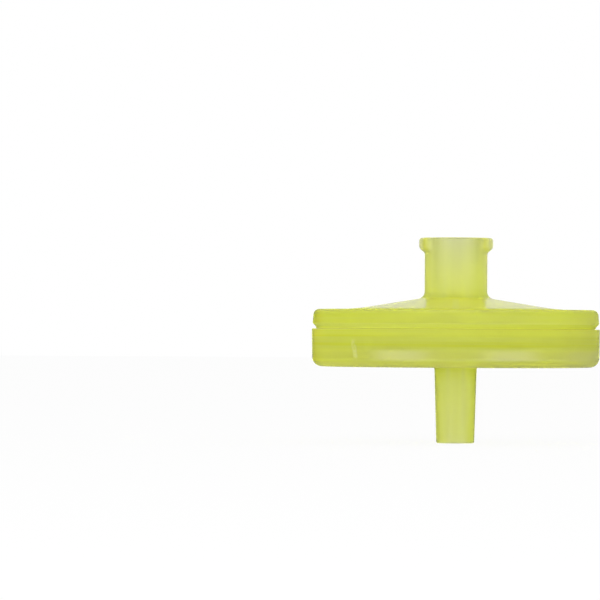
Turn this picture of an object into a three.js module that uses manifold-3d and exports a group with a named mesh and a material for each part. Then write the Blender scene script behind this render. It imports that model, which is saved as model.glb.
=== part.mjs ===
// A disc syringe filter: two moulded plastic halves welded round a flat membrane,
// with a female luer lock socket on the inlet side and a male luer cone on the outlet side.
// Millimetres, +Z up. The origin is the centre of the male luer's end face.

import * as THREE from 'three';
import { mergeVertices } from 'three/addons/utils/BufferGeometryUtils.js';
import Module from 'manifold-3d';

const wasm = await Module();
wasm.setup();

// Luer cones
const luerTaper = 0.06; // change of diameter over length

// Male luer cone of the outlet
const outletTipDiameter = 4.0;
const outletLuerLength = 8.05;
const outletBoreDiameter = 2.0;
const outletTipBevel = 0.12;
const outletRootFillet = 0.25;

// Cup of the outlet half
const bodyRadius = 15.2;
const cupHeight = 3.99;
const cupWall = 0.95;
const cupFloor = 0.8;
const cupCornerRadius = 1.0;
const cupDraft = 0.05; // loss of radius from the seam to the underside

// Support of the membrane inside the cup
const supportHeight = 1.0;
const seatWidth = 1.3;
const supportRingCount = 5;
const supportRingWidth = 0.7;
const drainWellRadius = 1.6;
const drainChannelCount = 8;
const drainChannelWidth = 1.0;

// Membrane
const membraneThickness = 0.15;
const membraneEdgeGap = 0.2;

// Rim of the inlet half
const plugWall = 0.9;
const plugGap = 0.05;
const plugBevel = 0.2;
const rimHeight = 2.06;
const rimGrooveDepth = 0.44;
const rimGrooveHeight = 0.57;
const rimGrooveBevel = 0.38;
const rimSetback = 0.07; // the rim stands back from the cup's outer radius
const rimDraft = 0.13;
const rimEdgeRadius = 0.55;

// Shallow cone over the inlet chamber
const coneFootRadius = 11.0;
const coneSlope = 0.162; // rise over run
const coneBlendRadius = 20.0;
const coneWall = 1.9;
const spreadRibCount = 4;
const spreadRibWidth = 0.7;
const spreadRibDepth = 0.3;
const spreadRibStart = 0.4; // clear of the hub's radius
const spreadRibRoot = 0.3; // how far a rib reaches up into the ceiling

// Female luer lock socket of the inlet
const hubDiameter = 6.62;
const hubRise = 7.57; // above the rim's top face
const hubFootFillet = 0.75;
const hubEdgeRadius = 0.15;
const socketMouthDiameter = 4.3;
const socketMouthBevel = 0.1;
const socketDepth = 7.5;
const socketFloor = 0.8;
const inletPortCount = 4;
const inletPortDiameter = 0.8;
const inletPortCircleRadius = 1.15;

// Lugs of the luer lock
const lugSpan = 7.84;
const lugHeight = 1.07;
const lugUndersideSlope = 0.85; // drop over run towards the hub
const lugEdgeRadius = 0.3;
const lugUndersideRadius = 0.25;
const lugHalfWidth = 1.9; // at the corners of the lug's outer face
const lugFlankSlope = 0.42; // widening over run towards the hub
const lugRoot = 0.4; // how far a lug's body reaches into the hub's wall
const lugFlankStart = 0.5; // share of the hub's radius at which the flanks begin, inside its wall

// Fineness of the curves
const roundSegments = 60;
const portSegments = 12;
const filletSteps = 4;
const edgeSteps = 2; // of the narrow rounded edges
const weldTolerance = 1e-4; // corners nearer to each other than this are one
const cutOverrun = 1.0; // how far a cutting body runs past the material

const plasticColour = 0xd3dc55;
const membraneColour = 0xf4f4ee;

// Levels and radii that follow from the sizes above
const undersideZ = outletLuerLength;
const floorTopZ = undersideZ + cupFloor;
const seatZ = floorTopZ + supportHeight;
const membraneTopZ = seatZ + membraneThickness;
const seamZ = undersideZ + cupHeight;
const rimTopZ = seamZ + rimHeight;
const hubTopZ = rimTopZ + hubRise;

const cupInnerRadius = bodyRadius - cupWall;
const seatInnerRadius = cupInnerRadius - seatWidth;
const plugOuterRadius = cupInnerRadius - plugGap;
const plugInnerRadius = plugOuterRadius - plugWall;
const membraneRadius = cupInnerRadius - membraneEdgeGap;
const hubRadius = hubDiameter / 2;
const socketMouthRadius = socketMouthDiameter / 2;
const socketFloorRadius = socketMouthRadius - luerTaper * socketDepth / 2;
const socketFloorZ = hubTopZ - socketDepth;
const coneAngle = Math.atan(coneSlope);
const ceilingCentreZ = socketFloorZ - socketFloor;
const ceilingEdgeZ = rimTopZ - coneWall;

// Points on an arc about (r, z), from one angle to another, both ends included.
function arc(r, z, radius, fromAngle, toAngle, steps = filletSteps) {
  const points = [];
  for (let i = 0; i <= steps; i += 1) {
    const angle = fromAngle + (toAngle - fromAngle) * i / steps;
    points.push([r + radius * Math.cos(angle), z + radius * Math.sin(angle)]);
  }
  return points;
}

// A solid of revolution about Z from (r, z) points, outer side upwards.
function revolve(points, segments = roundSegments) {
  const profile = points.map(([r, z]) => new THREE.Vector2(r, z));
  const geometry = new THREE.LatheGeometry(profile, segments);
  geometry.rotateX(Math.PI / 2);
  return geometry;
}

// An upright prism from (x, y) points, anticlockwise from above.
function prism(points, bottomZ, topZ) {
  const outline = new THREE.Shape(points.map(([x, y]) => new THREE.Vector2(x, y)));
  const geometry = new THREE.ExtrudeGeometry(outline, { depth: topZ - bottomZ, bevelEnabled: false });
  geometry.translate(0, 0, bottomZ);
  return geometry;
}

// A box that runs along +X from one radius to another, turned about Z.
function radialBar(innerRadius, outerRadius, width, bottomZ, topZ, angle) {
  const corners = [
    [innerRadius, -width / 2],
    [outerRadius, -width / 2],
    [outerRadius, width / 2],
    [innerRadius, width / 2],
  ];
  const bar = prism(corners, bottomZ, topZ);
  bar.rotateZ(angle);
  return bar;
}

function toSolid(geometry) {
  const bare = geometry.index ? geometry.toNonIndexed() : geometry.clone();
  bare.deleteAttribute('normal');
  bare.deleteAttribute('uv');
  const merged = mergeVertices(bare, weldTolerance);
  const vertProperties = new Float32Array(merged.attributes.position.array);
  const triVerts = new Uint32Array(merged.index.array);
  return new wasm.Manifold(new wasm.Mesh({ numProp: 3, vertProperties, triVerts }));
}

function toGeometry(solid) {
  const mesh = solid.getMesh();
  const geometry = new THREE.BufferGeometry();
  geometry.setAttribute('position', new THREE.BufferAttribute(mesh.vertProperties, 3));
  geometry.setIndex(new THREE.BufferAttribute(mesh.triVerts, 1));
  geometry.computeVertexNormals();
  return geometry;
}

// Outside and inside of the cup, the support rings and the male luer, as one outline.
function outletOutline() {
  const boreRadius = outletBoreDiameter / 2;
  const tipRadius = outletTipDiameter / 2;
  const coneRadius = (z) => tipRadius + luerTaper * z / 2;
  const filletZ = undersideZ - outletRootFillet;
  const filletR = coneRadius(filletZ) + outletRootFillet;
  const footRadius = bodyRadius - cupDraft;
  const outline = [
    [boreRadius, 0],
    [tipRadius - outletTipBevel, 0],
    [coneRadius(outletTipBevel), outletTipBevel],
    ...arc(filletR, filletZ, outletRootFillet, Math.PI, Math.PI / 2),
    ...arc(footRadius - cupCornerRadius, undersideZ + cupCornerRadius, cupCornerRadius, -Math.PI / 2, 0),
    [bodyRadius, seamZ],
    [cupInnerRadius, seamZ],
    [cupInnerRadius, seatZ],
    [seatInnerRadius, seatZ],
    [seatInnerRadius, floorTopZ],
  ];
  const pitch = (seatInnerRadius - drainWellRadius) / supportRingCount;
  for (let i = supportRingCount - 1; i >= 0; i -= 1) {
    const middle = drainWellRadius + pitch * (i + 0.5);
    const outer = middle + supportRingWidth / 2;
    const inner = middle - supportRingWidth / 2;
    outline.push([outer, floorTopZ], [outer, seatZ], [inner, seatZ], [inner, floorTopZ]);
  }
  outline.push([drainWellRadius, floorTopZ]);
  outline.push([boreRadius, floorTopZ - (drainWellRadius - boreRadius)]);
  outline.push([boreRadius, 0]);
  return outline;
}

// The cup with its male luer, and drain channels cut through the support rings.
function outletHousing() {
  let body = toSolid(revolve(outletOutline()));
  for (let i = 0; i < drainChannelCount; i += 1) {
    const angle = 2 * Math.PI * (i + 0.5) / drainChannelCount;
    const channel = radialBar(
      drainWellRadius,
      seatInnerRadius,
      drainChannelWidth,
      floorTopZ,
      seatZ + cutOverrun,
      angle,
    );
    body = body.subtract(toSolid(channel));
  }
  return toGeometry(body);
}

// Plug ring, rim, cone, hub and socket of the inlet half, as one outline.
function inletOutline() {
  const grooveRadius = bodyRadius - rimGrooveDepth;
  const rimLowerRadius = bodyRadius - rimSetback;
  const rimUpperRadius = rimLowerRadius - rimDraft;
  const blendR = coneFootRadius + coneBlendRadius * Math.tan(coneAngle / 2);
  const filletR = hubRadius + hubFootFillet;
  const filletZ = rimTopZ + (coneFootRadius - filletR) * coneSlope + hubFootFillet / Math.cos(coneAngle);
  const down = -Math.PI / 2;
  return [
    [0, ceilingCentreZ],
    [hubRadius, ceilingCentreZ],
    [coneFootRadius, ceilingEdgeZ],
    [plugInnerRadius, ceilingEdgeZ],
    [plugInnerRadius, membraneTopZ],
    [plugOuterRadius - plugBevel, membraneTopZ],
    [plugOuterRadius, membraneTopZ + plugBevel],
    [plugOuterRadius, seamZ],
    [grooveRadius, seamZ],
    [grooveRadius, seamZ + rimGrooveHeight - rimGrooveBevel],
    [rimLowerRadius, seamZ + rimGrooveHeight],
    ...arc(rimUpperRadius - rimEdgeRadius, rimTopZ - rimEdgeRadius, rimEdgeRadius, 0, Math.PI / 2),
    ...arc(blendR, rimTopZ + coneBlendRadius, coneBlendRadius, down, down - coneAngle),
    ...arc(filletR, filletZ, hubFootFillet, down - coneAngle, -Math.PI),
    ...arc(hubRadius - hubEdgeRadius, hubTopZ - hubEdgeRadius, hubEdgeRadius, 0, Math.PI / 2, edgeSteps),
    [socketMouthRadius + socketMouthBevel, hubTopZ],
    [socketMouthRadius, hubTopZ - socketMouthBevel],
    [socketFloorRadius, socketFloorZ],
    [0, socketFloorZ],
  ];
}

// A low rib that runs outwards under the cone's ceiling.
function spreadRib(angle) {
  const start = hubRadius + spreadRibStart;
  const fall = (ceilingCentreZ - ceilingEdgeZ) / (coneFootRadius - hubRadius);
  const startZ = ceilingCentreZ - fall * spreadRibStart;
  const side = new THREE.Shape([
    new THREE.Vector2(start, startZ - spreadRibDepth),
    new THREE.Vector2(coneFootRadius, ceilingEdgeZ - spreadRibDepth),
    new THREE.Vector2(coneFootRadius, ceilingEdgeZ + spreadRibRoot),
    new THREE.Vector2(start, startZ + spreadRibRoot),
  ]);
  const geometry = new THREE.ExtrudeGeometry(side, { depth: spreadRibWidth, bevelEnabled: false });
  geometry.translate(0, 0, -spreadRibWidth / 2);
  geometry.rotateX(Math.PI / 2);
  geometry.rotateZ(angle);
  return geometry;
}

// A round port through the socket's floor.
function inletPort(angle) {
  const geometry = new THREE.CylinderGeometry(
    inletPortDiameter / 2,
    inletPortDiameter / 2,
    socketFloor + 2 * cutOverrun,
    portSegments,
  );
  geometry.rotateX(Math.PI / 2);
  geometry.translate(inletPortCircleRadius, 0, socketFloorZ - socketFloor / 2);
  geometry.rotateZ(angle);
  return geometry;
}

// One lug: a sector of a ring with a sloping underside, between two slanted flanks.
function lug(angle) {
  const lugRadius = lugSpan / 2;
  const innerRadius = hubRadius - lugRoot;
  const outerZ = hubTopZ - lugHeight;
  const innerZ = outerZ - lugUndersideSlope * (lugRadius - innerRadius);
  const under = -Math.PI / 2 + Math.atan(lugUndersideSlope); // facing of the sloping underside
  const underZ = outerZ + lugUndersideRadius * Math.tan(-under / 2);
  const ring = toSolid(revolve([
    [innerRadius, innerZ],
    ...arc(lugRadius - lugUndersideRadius, underZ, lugUndersideRadius, under, 0, edgeSteps),
    ...arc(lugRadius - lugEdgeRadius, hubTopZ - lugEdgeRadius, lugEdgeRadius, 0, Math.PI / 2),
    [innerRadius, hubTopZ],
    [innerRadius, innerZ],
  ]));
  const cornerX = Math.sqrt(lugRadius ** 2 - lugHalfWidth ** 2);
  const halfWidthAt = (x) => lugHalfWidth + lugFlankSlope * (cornerX - x);
  const nearX = hubRadius * lugFlankStart;
  const farX = lugRadius + cutOverrun;
  const wedge = prism(
    [
      [nearX, -halfWidthAt(nearX)],
      [farX, -halfWidthAt(farX)],
      [farX, halfWidthAt(farX)],
      [nearX, halfWidthAt(nearX)],
    ],
    innerZ - cutOverrun,
    hubTopZ + cutOverrun,
  );
  wedge.rotateZ(angle);
  return ring.intersect(toSolid(wedge));
}

// The domed lid with its plug ring, spreading ribs, socket, ports and lugs.
function inletHousing() {
  let body = toSolid(revolve(inletOutline()));
  for (let i = 0; i < spreadRibCount; i += 1) {
    body = body.add(toSolid(spreadRib(2 * Math.PI * i / spreadRibCount)));
  }
  for (let i = 0; i < inletPortCount; i += 1) {
    body = body.subtract(toSolid(inletPort(2 * Math.PI * i / inletPortCount)));
  }
  body = body.add(lug(0)).add(lug(Math.PI));
  return toGeometry(body);
}

// The flat filter membrane, clamped between the plug ring and the cup's seat.
function membrane() {
  return revolve([
    [0, seatZ],
    [membraneRadius, seatZ],
    [membraneRadius, membraneTopZ],
    [0, membraneTopZ],
  ]);
}

function namedMesh(name, geometry, colour, roughness) {
  const material = new THREE.MeshStandardMaterial({ color: colour, roughness, metalness: 0 });
  const mesh = new THREE.Mesh(geometry, material);
  mesh.name = name;
  return mesh;
}

const syringeFilter = new THREE.Group();
syringeFilter.add(namedMesh('outlet_housing', outletHousing(), plasticColour, 0.3));
syringeFilter.add(namedMesh('membrane', membrane(), membraneColour, 0.8));
syringeFilter.add(namedMesh('inlet_housing', inletHousing(), plasticColour, 0.3));

export default syringeFilter;
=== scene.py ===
"""A disc syringe filter of tinted translucent plastic: two moulded halves round a white membrane."""
import math

import bmesh
import bpy
from mathutils import Matrix, Vector


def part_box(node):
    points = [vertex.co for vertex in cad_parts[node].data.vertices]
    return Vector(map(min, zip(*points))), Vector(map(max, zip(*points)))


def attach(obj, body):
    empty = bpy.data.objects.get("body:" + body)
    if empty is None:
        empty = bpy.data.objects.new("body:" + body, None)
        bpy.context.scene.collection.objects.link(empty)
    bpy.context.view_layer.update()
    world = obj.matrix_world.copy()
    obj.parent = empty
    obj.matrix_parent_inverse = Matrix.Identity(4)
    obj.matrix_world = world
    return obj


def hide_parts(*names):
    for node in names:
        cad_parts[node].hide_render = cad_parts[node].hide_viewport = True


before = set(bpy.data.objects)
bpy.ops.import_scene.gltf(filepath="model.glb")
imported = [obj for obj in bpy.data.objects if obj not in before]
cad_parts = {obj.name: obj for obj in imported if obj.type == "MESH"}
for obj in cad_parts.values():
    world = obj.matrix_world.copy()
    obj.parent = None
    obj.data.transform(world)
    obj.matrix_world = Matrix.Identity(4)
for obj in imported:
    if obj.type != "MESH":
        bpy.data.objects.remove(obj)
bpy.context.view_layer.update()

MM = 0.001
_, inlet_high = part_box("inlet_housing")
_, outlet_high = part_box("outlet_housing")
membrane_low, membrane_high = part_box("membrane")

# Sizes are in millimetres, and levels are heights above the male luer's end face
SEAM_Z = outlet_high.z / MM
HUB_TOP_Z = inlet_high.z / MM
MEMBRANE_LOW_Z = membrane_low.z / MM
MEMBRANE_TOP_Z = membrane_high.z / MM
BODY_RADIUS = outlet_high.x / MM
MEMBRANE_RADIUS = membrane_high.x / MM

# Outlet half
LUER_TAPER = 0.06
LUER_LENGTH = 8.05
TIP_RADIUS = 2.0
BORE_RADIUS = 1.0
CUP_WALL = 0.95
CUP_FLOOR = 0.8
CUP_CORNER = 1.0
CUP_DRAFT = 0.05
SEAT_WIDTH = 1.3
RING_COUNT = 5
RING_WIDTH = 0.7
WELL_RADIUS = 1.6
CHANNEL_COUNT = 8
CHANNEL_WIDTH = 1.0
CHANNEL_CUT_HEIGHT = 2.0

# Inlet half
PLUG_WALL = 0.9
PLUG_GAP = 0.05
SEAM_GAP = 0.01
RIM_HEIGHT = 2.06
RIM_TOP_Z = SEAM_Z + RIM_HEIGHT
RIM_ROUNDING = 0.55
GROOVE_DEPTH = 0.44
GROOVE_HEIGHT = 0.57
GROOVE_BEVEL = 0.38
RIM_SETBACK = 0.07
RIM_DRAFT = 0.13
CONE_FOOT_RADIUS = 11.0
CONE_SLOPE = 0.162
CONE_WALL = 1.9
CONE_FOOT_BLEND = 1.5
HUB_RADIUS = 3.31
HUB_FILLET = 0.64
SOCKET_RADIUS = 2.15
SOCKET_DEPTH = 7.5
SOCKET_FLOOR = 0.8
RIB_COUNT = 4
RIB_WIDTH = 0.7
RIB_DEPTH = 0.3
RIB_START = 0.4
PORT_COUNT = 4
PORT_RADIUS = 0.4
PORT_CIRCLE = 1.15
PORT_DRILL_LENGTH = 2.0
PORT_STEPS = 24
LUG_RADIUS = 3.92
LUG_HEIGHT = 1.07
LUG_UNDERSIDE_SLOPE = 0.85
LUG_HALF_WIDTH = 1.9
LUG_FLANK_SLOPE = 0.42
LUG_EDGE_RADIUS = 0.15
LUG_ROUNDING = 0.3
LUG_REACH_BELOW = 0.2
COLLAR_LEAD = 1.0

# Fineness of the turned bodies
TURN_STEPS = 192
ROUNDING_STEP = 0.08
FEWEST_ROUNDING_STEPS = 2
MOST_ROUNDING_STEPS = 8
SAME_POINT = 0.0005
SMOOTH_UP_TO = math.radians(32)


def turned(outline):
    """A closed body of revolution about Z from corners (radius, height, softening) in millimetres.

    Softening is how far from its corner a rounding starts; outlines that leave the axis end on it."""
    body = bmesh.new()
    corners = [body.verts.new((r * MM, 0, z * MM)) for r, z, _ in outline]
    for start, end in zip(corners, corners[1:]):
        body.edges.new((start, end))
    if outline[0][0] > 0:
        body.edges.new((corners[-1], corners[0]))
    for corner, (_, _, soft) in zip(corners, outline):
        if soft:
            steps = max(FEWEST_ROUNDING_STEPS, min(MOST_ROUNDING_STEPS, round(soft / ROUNDING_STEP)))
            bmesh.ops.bevel(
                body, geom=[corner], offset=soft * MM, offset_type="OFFSET", affect="VERTICES",
                segments=steps, profile=0.5, material=-1,
            )
    bmesh.ops.spin(
        body, geom=body.verts[:] + body.edges[:], cent=(0, 0, 0), axis=(0, 0, 1),
        angle=2 * math.pi, steps=TURN_STEPS, use_merge=True, use_duplicate=False,
    )
    bmesh.ops.remove_doubles(body, verts=body.verts[:], dist=SAME_POINT * MM)
    bmesh.ops.recalc_face_normals(body, faces=body.faces[:])
    return body


def loose_object(name, body):
    """An object that takes over a modelled body."""
    mesh = bpy.data.meshes.new(name)
    body.to_mesh(mesh)
    body.free()
    holder = bpy.data.objects.new(name, mesh)
    bpy.context.scene.collection.objects.link(holder)
    return holder


def carved(body, tool_body, operation):
    """The body with the tool's shape added to it or cut away."""
    blank = loose_object("blank", body)
    tool = loose_object("tool", tool_body)
    carving = blank.modifiers.new("carving", "BOOLEAN")
    carving.operation = operation
    carving.solver = "EXACT"
    carving.object = tool
    result = bmesh.new()
    result.from_object(blank, bpy.context.evaluated_depsgraph_get())
    for holder in (blank, tool):
        mesh = holder.data
        bpy.data.objects.remove(holder)
        bpy.data.meshes.remove(mesh)
    bmesh.ops.recalc_face_normals(result, faces=result.faces[:])
    return result


def finished(name, body, finish, node):
    """Turns a modelled body into a piece of the filter that stands for its node."""
    piece = loose_object(name, body)
    piece.data.shade_smooth()
    piece.data.set_sharp_from_angle(angle=SMOOTH_UP_TO)
    piece.data.materials.append(finish)
    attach(piece, "root")
    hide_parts(node)


def inlet_outline():
    """The ceiling, plug ring, groove, rim, cone, collared hub and socket, from the axis back to the axis."""
    socket_floor_z = HUB_TOP_Z - SOCKET_DEPTH
    ceiling_centre = socket_floor_z - SOCKET_FLOOR
    ceiling_edge = RIM_TOP_Z - CONE_WALL
    plug_outer = BODY_RADIUS - CUP_WALL - PLUG_GAP
    plug_inner = plug_outer - PLUG_WALL
    groove = BODY_RADIUS - GROOVE_DEPTH
    rim_lower = BODY_RADIUS - RIM_SETBACK
    rim_upper = rim_lower - RIM_DRAFT
    cone_at_hub = RIM_TOP_Z + (CONE_FOOT_RADIUS - HUB_RADIUS) * CONE_SLOPE
    lug_under_outer = HUB_TOP_Z - LUG_HEIGHT
    lug_under_inner = lug_under_outer - LUG_UNDERSIDE_SLOPE * (LUG_RADIUS - HUB_RADIUS)
    return [
        (0, ceiling_centre, 0),
        (HUB_RADIUS, ceiling_centre, 0.3),
        (CONE_FOOT_RADIUS, ceiling_edge, 0.5),
        (plug_inner, ceiling_edge, 0.25),
        (plug_inner, MEMBRANE_TOP_Z + SEAM_GAP, 0.06),
        (plug_outer, MEMBRANE_TOP_Z + SEAM_GAP, 0.2),
        (plug_outer, SEAM_Z + SEAM_GAP, 0),
        (groove, SEAM_Z + SEAM_GAP, 0.1),
        (groove, SEAM_Z + GROOVE_HEIGHT - GROOVE_BEVEL, 0.06),
        (rim_lower, SEAM_Z + GROOVE_HEIGHT, 0.1),
        (rim_upper, RIM_TOP_Z, RIM_ROUNDING),
        (CONE_FOOT_RADIUS, RIM_TOP_Z, CONE_FOOT_BLEND),
        (HUB_RADIUS, cone_at_hub, HUB_FILLET),
        (HUB_RADIUS, lug_under_inner - COLLAR_LEAD, 0),
        (HUB_RADIUS, lug_under_inner, 0.12),
        (LUG_RADIUS, lug_under_outer, 0.2),
        (LUG_RADIUS, HUB_TOP_Z, LUG_ROUNDING),
        (SOCKET_RADIUS, HUB_TOP_Z, 0.1),
        (SOCKET_RADIUS - LUER_TAPER / 2 * SOCKET_DEPTH, socket_floor_z, 0.1),
        (0, socket_floor_z, 0),
    ]


def shape_lugs(body):
    """Draws the lugged collar back to the hub's round wall, except in the two lugs along X."""
    corner_x = math.sqrt(LUG_RADIUS ** 2 - LUG_HALF_WIDTH ** 2)
    low = HUB_TOP_Z - LUG_HEIGHT - LUG_UNDERSIDE_SLOPE * (LUG_RADIUS - HUB_RADIUS) - LUG_REACH_BELOW
    edge = LUG_EDGE_RADIUS
    for vert in body.verts:
        z = vert.co.z / MM
        radius = math.hypot(vert.co.x, vert.co.y) / MM
        drop = max(0.0, z - (HUB_TOP_Z - edge))
        wall = HUB_RADIUS - edge + math.sqrt(max(0.0, edge ** 2 - drop ** 2))
        if z < low or radius <= wall:
            continue
        across = abs(vert.co.y) / MM / radius
        along = abs(vert.co.x) / MM / radius
        flank = (LUG_HALF_WIDTH + LUG_FLANK_SLOPE * corner_x) / (across + LUG_FLANK_SLOPE * along)
        share = min(1.0, max(0.0, (flank - HUB_RADIUS) / (LUG_RADIUS - HUB_RADIUS)))
        share = share * share * (3 - 2 * share)
        reach = wall + (radius - wall) * share
        vert.co.x *= reach / radius
        vert.co.y *= reach / radius


def spread_ribs():
    """Low bars that run outwards under the lid's sloping ceiling."""
    ribs = bmesh.new()
    ceiling_centre = HUB_TOP_Z - SOCKET_DEPTH - SOCKET_FLOOR
    ceiling_edge = RIM_TOP_Z - CONE_WALL
    fall = (ceiling_centre - ceiling_edge) / (CONE_FOOT_RADIUS - HUB_RADIUS)
    start = HUB_RADIUS + RIB_START
    for rib in range(RIB_COUNT):
        bar = bmesh.ops.create_cube(ribs, size=1.0)["verts"]
        for vert in bar:
            along = start if vert.co.x < 0 else CONE_FOOT_RADIUS
            ceiling = ceiling_centre - fall * (along - HUB_RADIUS)
            drop = RIB_DEPTH if vert.co.z < 0 else -RIB_DEPTH
            vert.co = Vector((along, vert.co.y * RIB_WIDTH, ceiling - drop)) * MM
        turn = Matrix.Rotation(2 * math.pi * rib / RIB_COUNT, 3, "Z")
        bmesh.ops.rotate(ribs, verts=bar, cent=(0, 0, 0), matrix=turn)
    bmesh.ops.recalc_face_normals(ribs, faces=ribs.faces[:])
    return ribs


def inlet_ports():
    """Round drills that open the socket's floor."""
    drills = bmesh.new()
    middle = HUB_TOP_Z - SOCKET_DEPTH - SOCKET_FLOOR / 2
    for port in range(PORT_COUNT):
        turn = Matrix.Rotation(2 * math.pi * port / PORT_COUNT, 4, "Z")
        place = Matrix.Translation(Vector((PORT_CIRCLE, 0, middle)) * MM)
        bmesh.ops.create_cone(
            drills, cap_ends=True, segments=PORT_STEPS, radius1=PORT_RADIUS * MM, radius2=PORT_RADIUS * MM,
            depth=PORT_DRILL_LENGTH * MM, matrix=turn @ place,
        )
    return drills


def drain_channels():
    """Bars that cut the radial drain channels through the support rings."""
    bars = bmesh.new()
    floor_top = LUER_LENGTH + CUP_FLOOR
    seat_inner = BODY_RADIUS - CUP_WALL - SEAT_WIDTH
    middle_radius = (seat_inner + WELL_RADIUS) / 2
    middle_z = floor_top - SEAM_GAP + CHANNEL_CUT_HEIGHT / 2
    size = Vector((seat_inner - WELL_RADIUS, CHANNEL_WIDTH, CHANNEL_CUT_HEIGHT)) * MM
    place = Vector((middle_radius, 0, middle_z)) * MM
    for channel in range(CHANNEL_COUNT):
        turn = Matrix.Rotation(2 * math.pi * (channel + 0.5) / CHANNEL_COUNT, 4, "Z")
        fit = turn @ Matrix.Translation(place) @ Matrix.Diagonal((*size, 1.0))
        bmesh.ops.create_cube(bars, size=1.0, matrix=fit)
    return bars


def outlet_outline():
    """The male luer, cup, membrane seat, support rings, drain well and bore, from the tip's inner edge."""
    floor_top = LUER_LENGTH + CUP_FLOOR
    inner = BODY_RADIUS - CUP_WALL
    seat_inner = inner - SEAT_WIDTH
    seat = MEMBRANE_LOW_Z - SEAM_GAP
    root_radius = TIP_RADIUS + LUER_TAPER / 2 * LUER_LENGTH
    outline = [
        (BORE_RADIUS, 0, 0.05),
        (TIP_RADIUS, 0, 0.14),
        (root_radius, LUER_LENGTH, 0.25),
        (BODY_RADIUS - CUP_DRAFT, LUER_LENGTH, CUP_CORNER),
        (BODY_RADIUS, SEAM_Z, 0.05),
        (inner, SEAM_Z, 0.05),
        (inner, seat, 0.1),
        (seat_inner, seat, 0.08),
        (seat_inner, floor_top, 0.15),
    ]
    pitch = (seat_inner - WELL_RADIUS) / RING_COUNT
    for ring in reversed(range(RING_COUNT)):
        middle = WELL_RADIUS + pitch * (ring + 0.5)
        outer_side = middle + RING_WIDTH / 2
        inner_side = middle - RING_WIDTH / 2
        outline += [
            (outer_side, floor_top, 0.12), (outer_side, seat, 0.08),
            (inner_side, seat, 0.08), (inner_side, floor_top, 0.12),
        ]
    outline += [
        (WELL_RADIUS, floor_top, 0.1),
        (BORE_RADIUS, floor_top - (WELL_RADIUS - BORE_RADIUS), 0.1),
    ]
    return outline


def membrane_outline():
    """A flat sheet held just clear of the plug ring and of the seat."""
    low = MEMBRANE_LOW_Z + SEAM_GAP / 2
    high = MEMBRANE_TOP_Z - SEAM_GAP / 2
    return [(0, low, 0), (MEMBRANE_RADIUS, low, 0.04), (MEMBRANE_RADIUS, high, 0.04), (0, high, 0)]


def new_finish(name):
    """An empty node material with its output."""
    finish = bpy.data.materials.new(name)
    finish.use_nodes = True
    tree = finish.node_tree
    tree.nodes.clear()
    output = tree.nodes.new("ShaderNodeOutputMaterial")
    return finish, tree, output


def arithmetic(tree, operation, first, second=None, clamp=False):
    """The result of a sum or comparison on sockets or plain numbers."""
    node = tree.nodes.new("ShaderNodeMath")
    node.operation = operation
    node.use_clamp = clamp
    for socket, value in zip(node.inputs, (first, second)):
        if value is None:
            continue
        if isinstance(value, (int, float)):
            socket.default_value = value
        else:
            tree.links.new(value, socket)
    return node.outputs["Value"]


def graded(tree, value, low, high, at_low=0.0, at_high=1.0):
    """A soft step from one number to another as value goes from low to high."""
    node = tree.nodes.new("ShaderNodeMapRange")
    node.interpolation_type = "SMOOTHSTEP"
    tree.links.new(value, node.inputs["Value"])
    node.inputs["From Min"].default_value = low
    node.inputs["From Max"].default_value = high
    node.inputs["To Min"].default_value = at_low
    node.inputs["To Max"].default_value = at_high
    return node.outputs["Result"]


def blended(tree, share, first, second, blend_type="MIX"):
    """Two colours blended by a share, each a socket or a plain colour."""
    node = tree.nodes.new("ShaderNodeMix")
    node.data_type = "RGBA"
    node.blend_type = blend_type
    for name, value in (("Factor_Float", share), ("A_Color", first), ("B_Color", second)):
        socket = next(one for one in node.inputs if one.identifier == name)
        if isinstance(value, (int, float)):
            socket.default_value = value
        elif isinstance(value, tuple):
            socket.default_value = (*value, 1)
        else:
            tree.links.new(value, socket)
    return next(one for one in node.outputs if one.identifier == "Result_Color")


def speckle(tree, place, scale, stretch=(1, 1, 1), detail=2.0, seed=(0, 0, 0)):
    """Noise on the piece's own coordinates, drawn out along an axis by a small stretch there."""
    fit = tree.nodes.new("ShaderNodeMapping")
    tree.links.new(place, fit.inputs["Vector"])
    fit.inputs["Scale"].default_value = stretch
    fit.inputs["Location"].default_value = seed
    noise = tree.nodes.new("ShaderNodeTexNoise")
    tree.links.new(fit.outputs["Vector"], noise.inputs["Vector"])
    noise.inputs["Scale"].default_value = scale
    noise.inputs["Detail"].default_value = detail
    return noise.outputs["Fac"]


def held_between(tree, value, low, high, soft):
    """One inside a range and nothing outside it, with soft ends."""
    rise = graded(tree, value, low - soft, low + soft)
    fall = graded(tree, value, high - soft, high + soft, 1.0, 0.0)
    return arithmetic(tree, "MULTIPLY", rise, fall)


# Tinted plastic, laid zone by zone: each adds to the tint, and some make the plastic clearer or milkier.
# A pair or a row of four is where a zone starts and where it is whole, then what it gives at each of the two
# if that isn't nothing and one. A band is its lowest and highest value and the softness of both its ends.
DISC_MIDDLE_Z = 11.41
DISC_TINT = (0.885, 0.94, 0.21)
DISC_CLEAR = 0.76
WALL_TINT = (0.88, 0.915, 0.62)
WALL_CLEAR = 0.88
LUER_TINT = (0.785, 0.825, 0.48)
HUB_TINT = (0.69, 0.72, 0.73)
THIN_GRADE = (2.6, 5.5)
END_GRADE = (4.5, 10.5)
LUER_TO_HUB = (8.0, 15.0)

RIM_TINT = (0.945, 0.985, 0.28)
RIM_BAND = (12.51, 14.31, 0.3)
RIM_EDGE_TINT = (0.97, 0.99, 0.45)
RIM_EDGE_GRADE = (13.92, 14.03)
RIM_EDGE_REACH = (13.6, 14.3)
RIM_EDGE_MILK = 0.16
DISC_WALL_GRADE = (3.4, 2.8)

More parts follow.
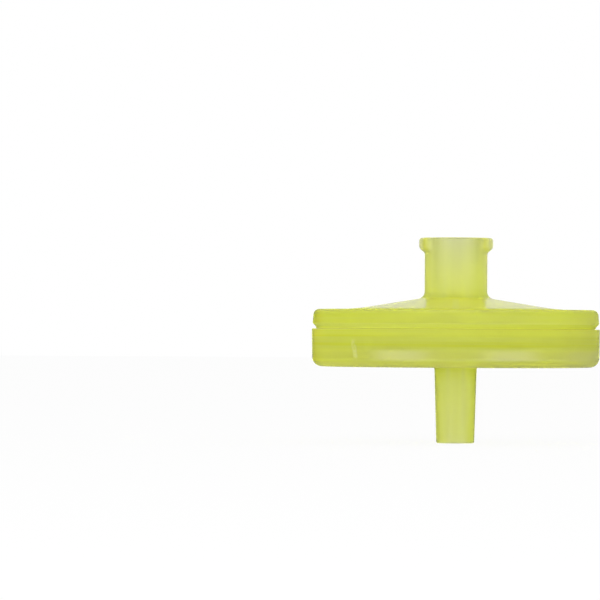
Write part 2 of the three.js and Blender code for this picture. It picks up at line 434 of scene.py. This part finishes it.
# Painted light deepens the disc's left side and clears its left end; painted shade greys its right side.
LEFT_LIGHT_TINT = (0.90, 0.96, 0.09)
LEFT_LIGHT_GRADE = (-4.0, -15.5)
LEFT_LIGHT_SHARE_ON_RIM = 0.55
LEFT_END_LIGHT_TINT = (1.0, 1.0, 0.03)
LEFT_END_LIGHT_GRADE = (-13.6, -15.0)
LEFT_END_LIGHT_CLEAR = 0.22
RIGHT_SHADE_TINT = (0.915, 0.935, 0.24)
RIGHT_SHADE_GRADE = (9.0, 14.5, 0.0, 0.55)

LUG_TINT = (0.74, 0.755, 0.10)
LUG_GRADE = (HUB_TOP_Z - 1.9, HUB_TOP_Z - 1.2)
LUG_REACH = (HUB_RADIUS, HUB_RADIUS + 0.4)
LUG_MILK = 0.3

OUTSIDE_GRADE = (14.4, 14.6)
# The plug band's depth, most in the middle, is painted shade; the drain band, its windows and the foot band
# are painted light; the greyed lower right is painted shade.
PLUG_SHADE_TINT = (0.66, 0.72, 0.09)
PLUG_BAND = (9.86, 11.3, 0.25)
PLUG_GRADE = (3.0, 11.0, 0.85, 0.6)
DRAIN_LIGHT_TINT = (0.78, 0.79, 0.43)
DRAIN_BAND = (8.8, 9.78, 0.25)
DRAIN_SHARE = 0.5
WINDOW_LIGHT_TINT = (0.885, 0.895, 0.45)
WINDOW_GRADE = (0.9, -1.0)
WINDOW_DEPTH = (7.0, 12.5)
WINDOW_MILK = 0.18
FOOT_LIGHT_TINT = (0.97, 0.99, 0.36)
FOOT_BAND = (LUER_LENGTH + 0.02, 8.65, 0.1)
RIGHT_FOOT_SHADE_TINT = (0.855, 0.855, 0.50)
RIGHT_FOOT_SHADE_SIDE = (9.0, 13.5, 0.0, 0.8)
RIGHT_FOOT_SHADE_HEIGHT = (10.1, 9.5)

INSIDE_TINT = (1.0, 1.0, 0.9)
BORE_TO_CAVITY = (8.4, 8.5, 1.4, 14.4)
CAVITY_TO_SOCKET = (13.76, 13.86, 0.0, -11.8)
INSIDE_GRADE = (-0.05, 0.05, 1.0, 0.0)

SHELL_GRADE = (3.2, 3.9)
SHELL_REACH = (4.3, 4.0)
# Painted shade on the hub's and the luer's flanks and down their front, and painted light in the pale bands
# beside it.
HUB_FLANK_SHADE_TINT = (0.96, 0.965, 0.74)
LUER_FLANK_SHADE_TINT = (0.925, 0.94, 0.56)
FLANK_GRADE = (0.45, 0.85)
UPPER_RIGHT_HEIGHT = (12.0, 15.0)
UPPER_RIGHT_SIDE = (0.6, 2.0)
UPPER_RIGHT_SHARE = 0.4
UNDER_LUGS_GRADE = (19.9, 20.6, 1.0, 0.25)
FRONT_LINE_SHADE_TINT = (0.94, 0.935, 0.94)
FRONT_LINE_GRADE = (0.24, 0.06)
PALE_BAND_LIGHT_TINT = (0.86, 0.88, 0.80)
PALE_BAND = (0.26, 0.46, 0.1)
PALE_BAND_GRADE = (8.0, 15.0, 0.45, 0.25)

WELD_TINT = (0.83, 0.88, 0.16)
WELD_BAND = (SEAM_Z - 0.02, SEAM_Z + GROOVE_HEIGHT - 0.05, 0.03)
WELD_REACH = (14.5, 15.09, 0.04)
WELD_MILK = 0.3
# The seam edge's pale tint is painted light over the shade in the groove's lower corner.
SEAM_EDGE_LIGHT_TINT = (0.99, 1.0, 0.27)
SEAM_EDGE_BAND = (SEAM_Z - 0.12, SEAM_Z + 0.1, 0.03)
SEAM_EDGE_REACH = (14.4, 14.5)
SEAM_EDGE_SHARE = 0.6

FLOW_TINT = (0.93, 0.95, 0.8)
FLOW_SCALE = 1000.0
LEVEL_STRETCH = (0.03, 0.03, 3.6)
LEVEL_DETAIL = 4.0
UPRIGHT_STRETCH = (0.8, 0.8, 0.03)
UPRIGHT_DETAIL = 3.0
UPRIGHT_SEED = (3, 1, 7)
FLOW_CONTRAST = (0.38, 0.68)
FLOW_SHARES = (0.15, 0.45)
FLOW_MILK = 0.08

LID_TINT = (0.93, 0.97, 0.15)
LID_BAND = (13.98, 16.2, 0.07)
LID_REACH = (3.6, 4.4)
LID_MILK = 0.14
LID_MILK_REACH = (13.2, 12.0)
HUB_FOOT_TINT = (0.97, 1.0, 0.17)
HUB_FOOT_BAND = (14.5, 15.3, 0.12)
HUB_FOOT_REACH = (7.5, 4.5)
RIB_SIDES = (0.2, 0.45, 1.0, 0.0)
RIB_REACH = (10.8, 12.0, 0.16, 0.0)
MOUTH_TINT = (1.0, 1.0, 0.24)
MOUTH_GRADE = (HUB_TOP_Z - 0.06, HUB_TOP_Z - 0.02)
MOUTH_MILK = 0.2
SOCKET_FLOOR_TINT = (1.0, 1.0, 0.34)
SOCKET_FLOOR_BAND = (13.3, 14.3, 0.06)
SOCKET_FLOOR_REACH = (2.3, 2.1)

SCUFF_TINT = (0.98, 0.98, 0.85)
SCUFF_X = -10.45
SCUFF_BAND = (8.71, 10.81, 0.3)
SCUFF_BEND = 0.14
SCUFF_WAVES = 1.6
SCUFF_SIDES = (0.05, 0.36, 1.0, 0.0)
SCUFF_DEPTH = (-5.0, -8.0)
SCUFF_GRAIN = 2600.0
SCUFF_DETAIL = 3.0
SCUFF_CONTRAST = (0.36, 0.56)
SCUFF_SHARE = 0.4
SCUFF_MILK = 0.15

PLASTIC_IOR = 1.3
PLASTIC_SPECULAR = 0.25
SATIN = 0.65
LID_SATIN = 0.4
LID_GLOSS = 0.6
POLISHED = 0.2
GLOSS_GRADE = (SEAM_Z + 1.7, SEAM_Z + 2.0)
GLOSS_START = (HUB_RADIUS + 0.2, HUB_RADIUS + 0.7)
GLOSS_END = (9.0, 12.4, 1.0, 0.0)
PEEL_SCALE = 1400.0
PEEL_DETAIL = 2.0
PEEL_STRENGTH = 0.12
PEEL_HEIGHT = 0.02
PLASTIC_ABSORPTION = (0.979, 0.987, 0.0, 1)
PLASTIC_DENSITY = 350.0


class Moulding:
    """The plastic as it is coloured: a point's place in millimetres, and its tint and clearness so far."""

    def __init__(self, tree):
        self.tree = tree
        self.place = tree.nodes.new("ShaderNodeTexCoord").outputs["Object"]
        parts = tree.nodes.new("ShaderNodeSeparateXYZ")
        tree.links.new(self.place, parts.inputs["Vector"])
        self.across = self.times(parts.outputs["X"], 1 / MM)
        self.depth = self.times(parts.outputs["Y"], 1 / MM)
        self.height = self.times(parts.outputs["Z"], 1 / MM)
        across_squared = self.times(self.across, self.across)
        depth_squared = self.times(self.depth, self.depth)
        self.off_axis = self.result("SQRT", self.result("ADD", across_squared, depth_squared))
        self.away = self.size_of(self.result("SUBTRACT", self.height, DISC_MIDDLE_Z))
        self.thin = self.grade(self.away, *THIN_GRADE)
        self.tint = blended(tree, self.thin, DISC_TINT, WALL_TINT)
        self.clear = self.grade(self.away, *THIN_GRADE, DISC_CLEAR, WALL_CLEAR)

    def result(self, operation, first, second=None):
        return arithmetic(self.tree, operation, first, second)

    def times(self, first, *others):
        """Values multiplied together, one after the other."""
        for other in others:
            first = arithmetic(self.tree, "MULTIPLY", first, other)
        return first

    def size_of(self, value):
        return arithmetic(self.tree, "ABSOLUTE", value)

    def left_of(self, share):
        """What a share leaves of the whole."""
        return arithmetic(self.tree, "SUBTRACT", 1.0, share)

    def grade(self, value, low, high, at_low=0.0, at_high=1.0):
        return graded(self.tree, value, low, high, at_low, at_high)

    def band(self, value, low, high, soft):
        return held_between(self.tree, value, low, high, soft)

    def lay(self, share, tint, blend_type="MIX"):
        """Lays a tint over the plastic as far as a share says."""
        self.tint = blended(self.tree, share, self.tint, tint, blend_type)

    def clarify(self, share, amount):
        """Makes the plastic clearer by an amount where the share is whole."""
        self.clear = arithmetic(self.tree, "ADD", self.clear, self.times(share, amount), clamp=True)

    def cloud(self, share, amount):
        """Makes the plastic milkier by an amount where the share is whole."""
        self.clear = arithmetic(self.tree, "SUBTRACT", self.clear, self.times(share, amount), clamp=True)


def tint_ends(mould):
    """Paler towards the hub and the male luer, each with its own tint."""
    by_height = mould.grade(mould.height, *LUER_TO_HUB)
    end_tint = blended(mould.tree, by_height, LUER_TINT, HUB_TINT)
    mould.lay(mould.grade(mould.away, *END_GRADE), end_tint)


def tint_rim_with_painted_side_light(mould):
    """The rim's tint, with painted light that deepens the disc's left side and clears its left end, and
    painted shade that greys its right.
    """
    rim = mould.band(mould.height, *RIM_BAND)
    mould.lay(rim, RIM_TINT)
    wall = mould.grade(mould.away, *DISC_WALL_GRADE)
    left = mould.times(mould.grade(mould.across, *LEFT_LIGHT_GRADE), wall)
    left = mould.times(left, mould.grade(rim, 0.0, 1.0, 1.0, LEFT_LIGHT_SHARE_ON_RIM))
    mould.lay(left, LEFT_LIGHT_TINT)
    left_end = mould.times(mould.grade(mould.across, *LEFT_END_LIGHT_GRADE), wall)
    mould.lay(left_end, LEFT_END_LIGHT_TINT)
    mould.clarify(left_end, LEFT_END_LIGHT_CLEAR)
    right = mould.times(mould.grade(mould.across, *RIGHT_SHADE_GRADE), wall)
    mould.lay(right, RIGHT_SHADE_TINT)


def tint_rim_edge(mould):
    """Milky along the rim's upper edge."""
    height = mould.grade(mould.height, *RIM_EDGE_GRADE)
    rim_edge = mould.times(height, mould.grade(mould.off_axis, *RIM_EDGE_REACH))
    mould.lay(rim_edge, RIM_EDGE_TINT)
    mould.cloud(rim_edge, RIM_EDGE_MILK)


def tint_lugs(mould):
    """Milky and deep in the two lugs."""
    height = mould.grade(mould.height, *LUG_GRADE)
    lugs = mould.times(height, mould.grade(mould.off_axis, *LUG_REACH))
    mould.lay(lugs, LUG_TINT)
    mould.cloud(lugs, LUG_MILK)


def paint_cup_wall_light_and_shade(mould):
    """Bands of the cup's wall: deep beside the plug ring and deepest in the middle, which is painted shade;
    pale beside the drain space and its channels, which is painted light of the white membrane seen through
    the wall; a paler lower edge of painted light; and a greyer lower right of painted shade.
    """
    outside = mould.grade(mould.off_axis, *OUTSIDE_GRADE)
    plug = mould.times(mould.band(mould.height, *PLUG_BAND), outside)
    plug = mould.times(plug, mould.grade(mould.size_of(mould.across), *PLUG_GRADE))
    mould.lay(plug, PLUG_SHADE_TINT)
    drain = mould.times(mould.band(mould.height, *DRAIN_BAND), outside)
    mould.lay(mould.band(mould.height, *FOOT_BAND), FOOT_LIGHT_TINT)
    round_axis = mould.result("ARCTAN2", mould.depth, mould.across)
    spokes = mould.result("COSINE", mould.times(round_axis, CHANNEL_COUNT))
    window = mould.times(drain, mould.grade(spokes, *WINDOW_GRADE))
    window = mould.times(window, mould.grade(mould.size_of(mould.depth), *WINDOW_DEPTH))
    mould.lay(mould.times(drain, DRAIN_SHARE), DRAIN_LIGHT_TINT)
    mould.lay(window, WINDOW_LIGHT_TINT)
    greyed = mould.grade(mould.across, *RIGHT_FOOT_SHADE_SIDE)
    greyed = mould.times(greyed, mould.grade(mould.height, *RIGHT_FOOT_SHADE_HEIGHT))
    mould.lay(greyed, RIGHT_FOOT_SHADE_TINT)
    mould.cloud(window, WINDOW_MILK)


def tint_inside(mould):
    """Almost no tint on the faces of the bore, the cavity and the socket; gives where they are."""
    reach = mould.result(
        "ADD", mould.grade(mould.height, *BORE_TO_CAVITY), mould.grade(mould.height, *CAVITY_TO_SOCKET),
    )
    inside = mould.grade(mould.result("SUBTRACT", mould.off_axis, reach), *INSIDE_GRADE)
    mould.lay(inside, INSIDE_TINT)
    return inside


def paint_hub_and_luer_light_and_shade(mould, inside):
    """Painted shade on the flanks below the lugs and in a faint line down the front, and painted light in a
    pale band beside that line.
    """
    swing = mould.size_of(mould.result("DIVIDE", mould.across, mould.off_axis))
    shell = mould.times(mould.grade(mould.away, *SHELL_GRADE), mould.grade(mould.off_axis, *SHELL_REACH))
    shell = mould.times(shell, mould.left_of(inside))
    by_height = mould.grade(mould.height, *LUER_TO_HUB)
    flank_shade_tint = blended(mould.tree, by_height, LUER_FLANK_SHADE_TINT, HUB_FLANK_SHADE_TINT)
    flanks = mould.times(mould.grade(swing, *FLANK_GRADE), shell)
    upper_right = mould.grade(mould.height, *UPPER_RIGHT_HEIGHT)
    upper_right = mould.times(upper_right, mould.grade(mould.across, *UPPER_RIGHT_SIDE))
    flanks = mould.times(flanks, mould.grade(upper_right, 0.0, 1.0, 1.0, UPPER_RIGHT_SHARE))
    flanks = mould.times(flanks, mould.grade(mould.height, *UNDER_LUGS_GRADE))
    mould.lay(flanks, flank_shade_tint, "MULTIPLY")
    middle = mould.times(mould.grade(swing, *FRONT_LINE_GRADE), shell)
    mould.lay(middle, FRONT_LINE_SHADE_TINT, "MULTIPLY")
    bands = mould.times(mould.band(swing, *PALE_BAND), shell)
    bands = mould.times(bands, mould.grade(mould.height, *PALE_BAND_GRADE))
    mould.lay(bands, PALE_BAND_LIGHT_TINT)


def tint_seam(mould):
    """The groove between the halves, milky, and the pale edge of the seam below it, which is painted light
    laid over the shade in the groove's lower corner.
    """
    weld = mould.times(mould.band(mould.height, *WELD_BAND), mould.band(mould.off_axis, *WELD_REACH))
    mould.lay(weld, WELD_TINT)
    mould.cloud(weld, WELD_MILK)
    seam_edge = mould.band(mould.height, *SEAM_EDGE_BAND)
    seam_edge = mould.times(seam_edge, mould.grade(mould.off_axis, *SEAM_EDGE_REACH))
    mould.lay(mould.times(seam_edge, SEAM_EDGE_SHARE), SEAM_EDGE_LIGHT_TINT)


def upper_face_of(mould):
    """The lid's sloping face between the hub and the rim."""
    height = mould.band(mould.height, *LID_BAND)
    return mould.times(height, mould.grade(mould.off_axis, *LID_REACH))


def tint_flow_lines(mould, inside, upper_face):
    """Flow lines: level ones round the disc, upright ones on the hub and the male luer."""
    level = speckle(mould.tree, mould.place, FLOW_SCALE, stretch=LEVEL_STRETCH, detail=LEVEL_DETAIL)
    upright = speckle(
        mould.tree, mould.place, FLOW_SCALE,
        stretch=UPRIGHT_STRETCH, detail=UPRIGHT_DETAIL, seed=UPRIGHT_SEED,
    )
    flow = mould.grade(blended(mould.tree, mould.thin, level, upright), *FLOW_CONTRAST)
    plain = mould.result("MAXIMUM", inside, upper_face)
    flow = mould.times(flow, mould.left_of(plain))
    mould.lay(mould.times(flow, mould.grade(mould.thin, 0.0, 1.0, *FLOW_SHARES)), FLOW_TINT)
    mould.cloud(flow, FLOW_MILK)


def tint_lid(mould, upper_face):
    """The lid's face, deeper at the hub's foot, with the spreading ribs faintly showing through it."""
    mould.lay(upper_face, LID_TINT)
    mould.cloud(mould.times(upper_face, mould.grade(mould.off_axis, *LID_MILK_REACH)), LID_MILK)
    hub_foot = mould.band(mould.height, *HUB_FOOT_BAND)
    hub_foot = mould.times(hub_foot, mould.grade(mould.off_axis, *HUB_FOOT_REACH))
    mould.lay(hub_foot, HUB_FOOT_TINT)
    along_y = mould.grade(mould.size_of(mould.across), *RIB_SIDES)
    along_x = mould.grade(mould.size_of(mould.depth), *RIB_SIDES)
    ribs = mould.times(mould.result("MAXIMUM", along_x, along_y), upper_face)
    ribs = mould.times(ribs, mould.grade(mould.off_axis, *RIB_REACH))
    mould.lay(ribs, FLOW_TINT)


def tint_socket(mould):
    """The hub's mouth, milky, and the floor of its socket."""
    mouth = mould.grade(mould.height, *MOUTH_GRADE)
    mould.lay(mouth, MOUTH_TINT)
    mould.cloud(mouth, MOUTH_MILK)
    socket_floor = mould.band(mould.height, *SOCKET_FLOOR_BAND)
    socket_floor = mould.times(socket_floor, mould.grade(mould.off_axis, *SOCKET_FLOOR_REACH))
    mould.lay(socket_floor, SOCKET_FLOOR_TINT)


def tint_scuff(mould):
    """A pale crumbly scuff on the cup's wall."""
    bend = mould.times(mould.result("SINE", mould.times(mould.height, SCUFF_WAVES)), SCUFF_BEND)
    beside = mould.result("SUBTRACT", mould.result("SUBTRACT", mould.across, SCUFF_X), bend)
    stroke = mould.grade(mould.size_of(beside), *SCUFF_SIDES)
    stroke = mould.times(stroke, mould.band(mould.height, *SCUFF_BAND))
    stroke = mould.times(stroke, mould.grade(mould.depth, *SCUFF_DEPTH))
    crumbly = speckle(mould.tree, mould.place, SCUFF_GRAIN, detail=SCUFF_DETAIL)
    scuff = mould.times(stroke, mould.grade(crumbly, *SCUFF_CONTRAST))
    mould.lay(mould.times(scuff, SCUFF_SHARE), SCUFF_TINT)
    mould.cloud(scuff, SCUFF_MILK)


def gloss_lid(mould, shader):
    """A polished lid on satin plastic."""
    lid = mould.times(mould.grade(mould.height, *GLOSS_GRADE), mould.grade(mould.off_axis, *GLOSS_START))
    lid = mould.times(lid, mould.grade(mould.off_axis, *GLOSS_END))
    links = mould.tree.links
    links.new(mould.times(lid, LID_GLOSS), shader.inputs["Coat Weight"])
    links.new(mould.grade(lid, 0.0, 1.0, SATIN, LID_SATIN), shader.inputs["Roughness"])
    shader.inputs["Coat Roughness"].default_value = POLISHED


def fine_relief(tree, shader, grain, strength, height):
    """Raises a shader's surface by a grain, to a height in millimetres."""
    relief = tree.nodes.new("ShaderNodeBump")
    relief.inputs["Strength"].default_value = strength
    relief.inputs["Distance"].default_value = height * MM
    tree.links.new(grain, relief.inputs["Height"])
    tree.links.new(relief.outputs["Normal"], shader.inputs["Normal"])


def tinted_plastic():
    """Milky yellow-green moulding: deep in the disc's thick walls, paler towards the two thin ends."""
    finish, tree, output = new_finish("clear_tinted_moulding")
    mould = Moulding(tree)
    tint_ends(mould)
    tint_rim_with_painted_side_light(mould)
    tint_rim_edge(mould)
    tint_lugs(mould)
    paint_cup_wall_light_and_shade(mould)
    inside = tint_inside(mould)
    paint_hub_and_luer_light_and_shade(mould, inside)
    tint_seam(mould)
    upper_face = upper_face_of(mould)
    tint_flow_lines(mould, inside, upper_face)
    tint_lid(mould, upper_face)
    tint_socket(mould)
    tint_scuff(mould)

    shader = tree.nodes.new("ShaderNodeBsdfPrincipled")
    tree.links.new(mould.tint, shader.inputs["Base Color"])
    tree.links.new(mould.clear, shader.inputs["Transmission Weight"])
    gloss_lid(mould, shader)
    shader.inputs["IOR"].default_value = PLASTIC_IOR
    shader.inputs["Specular IOR Level"].default_value = PLASTIC_SPECULAR
    peel = speckle(tree, mould.place, PEEL_SCALE, detail=PEEL_DETAIL)
    fine_relief(tree, shader, peel, PEEL_STRENGTH, PEEL_HEIGHT)
    volume = tree.nodes.new("ShaderNodeVolumeAbsorption")
    volume.inputs["Color"].default_value = PLASTIC_ABSORPTION
    volume.inputs["Density"].default_value = PLASTIC_DENSITY
    tree.links.new(shader.outputs["BSDF"], output.inputs["Surface"])
    tree.links.new(volume.outputs["Volume"], output.inputs["Volume"])
    return finish


# White membrane
MEMBRANE_WHITE = (0.975, 0.975, 0.965)
MEMBRANE_CREAM = (0.95, 0.95, 0.935)
MEMBRANE_CLOUDS = 300.0
CLOUD_DETAIL = 3.0
CLOUD_CONTRAST = (0.35, 0.65)
MEMBRANE_ROUGHNESS = (0.85, 0.95)
MEMBRANE_CLEAR = 0.85
FELT_SCALE = 6000.0
FELT_DETAIL = 4.0
FELT_STRENGTH = 0.3
FELT_HEIGHT = 0.01


def white_membrane():
    """Matt white sheet with a fine felted grain, which lets light through."""
    finish, tree, output = new_finish("white_membrane")
    place = tree.nodes.new("ShaderNodeTexCoord").outputs["Object"]
    clouds = graded(tree, speckle(tree, place, MEMBRANE_CLOUDS, detail=CLOUD_DETAIL), *CLOUD_CONTRAST)
    shader = tree.nodes.new("ShaderNodeBsdfPrincipled")
    tree.links.new(blended(tree, clouds, MEMBRANE_WHITE, MEMBRANE_CREAM), shader.inputs["Base Color"])
    tree.links.new(graded(tree, clouds, 0.0, 1.0, *MEMBRANE_ROUGHNESS), shader.inputs["Roughness"])
    shader.inputs["Transmission Weight"].default_value = MEMBRANE_CLEAR
    felt = speckle(tree, place, FELT_SCALE, detail=FELT_DETAIL)
    fine_relief(tree, shader, felt, FELT_STRENGTH, FELT_HEIGHT)
    tree.links.new(shader.outputs["BSDF"], output.inputs["Surface"])
    return finish


plastic = tinted_plastic()
inlet_body = turned(inlet_outline())
shape_lugs(inlet_body)
inlet_body = carved(inlet_body, spread_ribs(), "UNION")
inlet_body = carved(inlet_body, inlet_ports(), "DIFFERENCE")
finished("inlet_moulding", inlet_body, plastic, "inlet_housing")
outlet_body = carved(turned(outlet_outline()), drain_channels(), "DIFFERENCE")
finished("outlet_moulding", outlet_body, plastic, "outlet_housing")
finished("membrane_disc", turned(membrane_outline()), white_membrane(), "membrane")


# Studio: strengths of one are white
BACKGROUND_STRENGTH = 1.0
ROOM_STRENGTH = 0.87
FLOOR_HALF_SIDE = 1.5
FLOOR_GLOW = 1.0
FLOOR_SHOWN_SHARE = 0.93


def shown_rays(tree):
    """One for the rays that show a surface as it is: camera, glossy and transmission rays."""
    rays = tree.nodes.new("ShaderNodeLightPath").outputs
    direct = arithmetic(tree, "MAXIMUM", rays["Is Camera Ray"], rays["Is Glossy Ray"])
    return arithmetic(tree, "MAXIMUM", direct, rays["Is Transmission Ray"])


def mixed_into(tree, share, first, second, output):
    """Mixes two shaders by a share into an output's surface."""
    mix = tree.nodes.new("ShaderNodeMixShader")
    tree.links.new(share, mix.inputs["Fac"])
    tree.links.new(first, mix.inputs[1])
    tree.links.new(second, mix.inputs[2])
    tree.links.new(mix.outputs["Shader"], output.inputs["Surface"])


def studio_world():
    """A white background, and a plain even light that is a little lower."""
    world = bpy.data.worlds.new("studio")
    bpy.context.scene.world = world
    world.use_nodes = True
    tree = world.node_tree
    tree.nodes.clear()
    output = tree.nodes.new("ShaderNodeOutputWorld")
    room = tree.nodes.new("ShaderNodeBackground")
    room.inputs["Strength"].default_value = ROOM_STRENGTH
    shown = tree.nodes.new("ShaderNodeBackground")
    shown.inputs["Color"].default_value = (1, 1, 1, 1)
    shown.inputs["Strength"].default_value = BACKGROUND_STRENGTH
    mixed_into(tree, shown_rays(tree), room.outputs["Background"], shown.outputs["Background"], output)


def studio_floor():
    """A pale floor that shows nearly white and keeps the filter's shadow."""
    sheet = bmesh.new()
    bmesh.ops.create_grid(sheet, x_segments=1, y_segments=1, size=FLOOR_HALF_SIDE)
    stage = loose_object("floor", sheet)
    finish, tree, output = new_finish("pale_floor")
    paint = tree.nodes.new("ShaderNodeBsdfDiffuse")
    paint.inputs["Color"].default_value = (1.0, 1.0, 1.0, 1)
    glow = tree.nodes.new("ShaderNodeEmission")
    glow.inputs["Strength"].default_value = FLOOR_GLOW
    share = arithmetic(tree, "MULTIPLY", shown_rays(tree), FLOOR_SHOWN_SHARE)
    mixed_into(tree, share, paint.outputs["BSDF"], glow.outputs["Emission"], output)
    stage.data.materials.append(finish)


# Lamp and camera, in metres and watts, and the camera's angles in degrees
LAMP_PLACE = (-0.07, -0.52, 0.22)
LAMP_TARGET = (0, 0, 0.012)
LAMP_SIZE = 0.3
LAMP_POWER = 0.9
CAMERA_DISTANCE = 0.476
CAMERA_HEIGHT = 11.86 * MM
CAMERA_LENS = 270.0
CAMERA_SENSOR = 36.0
CAMERA_TURN_LEFT = 1.984
CAMERA_TILT_UP = 0.382
CAMERA_ROLL = 0.30
CLIP_START = 0.01
CLIP_END = 10


def soft_lamp(name, place, target, size, watts):
    """A round soft lamp that faces its target."""
    lamp = bpy.data.lights.new(name, "AREA")
    lamp.shape = "DISK"
    lamp.size = size
    lamp.energy = watts
    holder = bpy.data.objects.new(name, lamp)
    holder.location = place
    aim = Vector(target) - Vector(place)
    holder.rotation_euler = aim.to_track_quat("-Z", "Y").to_euler()
    bpy.context.scene.collection.objects.link(holder)


def side_camera():
    """A long lens in front of the disc's middle, turned a little so that the filter stands to the right."""
    turn_left = math.radians(CAMERA_TURN_LEFT)
    tilt_up = math.radians(CAMERA_TILT_UP)
    camera = bpy.data.cameras.new("side_camera")
    camera.lens = CAMERA_LENS
    camera.sensor_width = CAMERA_SENSOR
    camera.clip_start = CLIP_START
    camera.clip_end = CLIP_END
    holder = bpy.data.objects.new("side_camera", camera)
    ahead = Vector((-math.sin(turn_left), math.cos(turn_left), math.tan(tilt_up)))
    facing = ahead.to_track_quat("-Z", "Y").to_matrix().to_4x4()
    stand = Matrix.Translation((0, -CAMERA_DISTANCE, CAMERA_HEIGHT))
    roll = Matrix.Rotation(math.radians(CAMERA_ROLL), 4, "Z")
    holder.matrix_world = stand @ facing @ roll
    bpy.context.scene.collection.objects.link(holder)
    bpy.context.scene.camera = holder


studio_world()
studio_floor()
soft_lamp("key", LAMP_PLACE, LAMP_TARGET, LAMP_SIZE, LAMP_POWER)
side_camera()
bpy.context.scene.view_settings.view_transform = "Standard"
